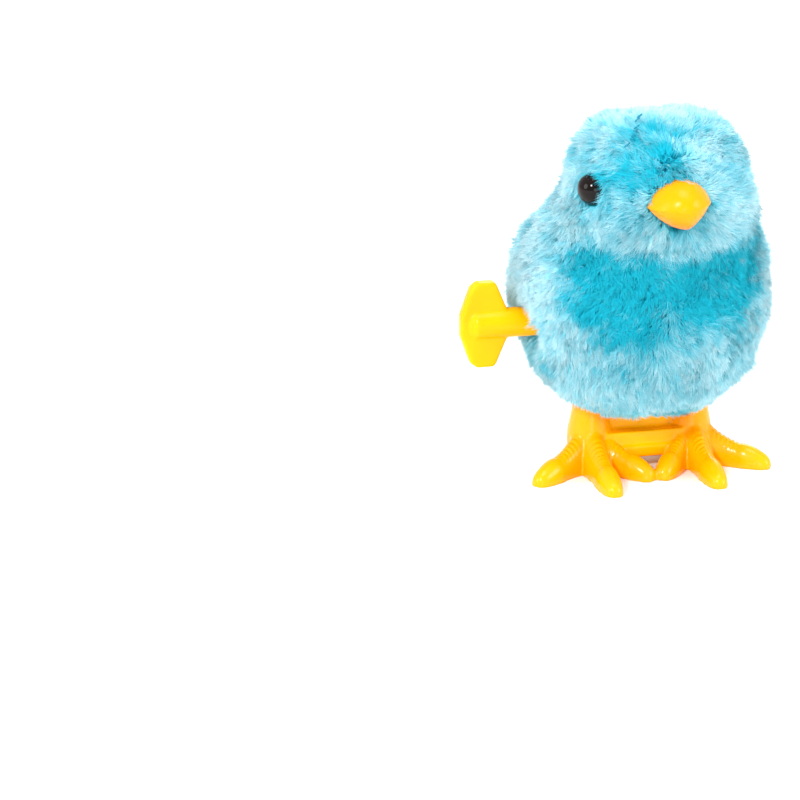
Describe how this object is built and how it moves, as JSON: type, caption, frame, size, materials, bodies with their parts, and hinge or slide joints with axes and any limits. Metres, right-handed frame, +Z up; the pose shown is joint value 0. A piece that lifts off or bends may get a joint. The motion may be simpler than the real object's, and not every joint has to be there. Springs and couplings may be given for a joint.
{
  "type": "wind-up hopping chick",
  "caption": "Small plush chick over a clockwork gearbox: turning the side key winds a spring that rocks the one-piece plastic feet so that it hops.",
  "frame": {"origin": "on the ground, under the middle of the bounding box, which includes the winding key", "axes": "+Z up, the chick looks along -Y, its left side is towards +X and its winding key sticks out towards -X"},
  "size_m": [0.0634, 0.0574, 0.0748],
  "materials": {
    "plush": "short cut-pile plush, deep cyan at the root and pale aqua at the tip",
    "filling": "loose polyester fibre",
    "eye_bead": "high gloss",
    "washer": "satin",
    "beak": "semi-gloss",
    "key": "semi-gloss",
    "case": "semi-gloss",
    "feet": "glossy, slightly translucent",
    "gear": "satin",
    "steel": "drawn wire",
    "spring_steel": "blued strip"
  },
  "bodies": {
    "chick": {"plush_cover": "plush", "stuffing": "filling", "eye_right": "eye_bead", "eye_left": "eye_bead", "eye_washer_right": "washer", "eye_washer_left": "washer", "beak": "beak", "beak_washer": "washer", "gearbox_right": "case", "gearbox_left": "case", "gearbox_screw_1": "steel", "gearbox_screw_2": "steel", "gearbox_screw_3": "steel", "mainspring": "spring_steel", "first_axle": "steel", "second_axle": "steel", "crank_axle": "steel", "feet_pivot_pin": "steel"},
    "winding": {"winding_key": "key", "winding_arbor": "steel", "drive_gear": "gear"},
    "first_step": {"first_gear": "gear"},
    "second_step": {"second_gear": "gear"},
    "crank": {"crank_gear": "gear"},
    "feet": {"feet": "feet"}
  },
  "joints": [
    {"name": "key_turn", "type": "hinge", "parent": "chick", "child": "winding", "pos_m": [0.0045, 0.0039, 0.0298], "axis": [1, 0, 0], "continuous": true},
    {"name": "first_gear_turn", "type": "hinge", "parent": "chick", "child": "first_step", "pos_m": [0.0045, 0.00915, 0.03889], "axis": [1, 0, 0], "continuous": true},
    {"name": "second_gear_turn", "type": "hinge", "parent": "chick", "child": "second_step", "pos_m": [0.0045, 0.00065, 0.03889], "axis": [1, 0, 0], "continuous": true},
    {"name": "crank_turn", "type": "hinge", "parent": "chick", "child": "crank", "pos_m": [0.0045, -0.0036, 0.03153], "axis": [1, 0, 0], "continuous": true},
    {"name": "feet_swing", "type": "hinge", "parent": "chick", "child": "feet", "pos_m": [0.0045, -0.0036, 0.0204], "axis": [1, 0, 0], "range_deg": [-10, 10]}
  ],
  "couplings": [
    {"joint": "first_gear_turn", "follows": "key_turn", "ratio": -3.2},
    {"joint": "second_gear_turn", "follows": "key_turn", "ratio": 7.68},
    {"joint": "crank_turn", "follows": "key_turn", "ratio": -18.432}
  ]
}
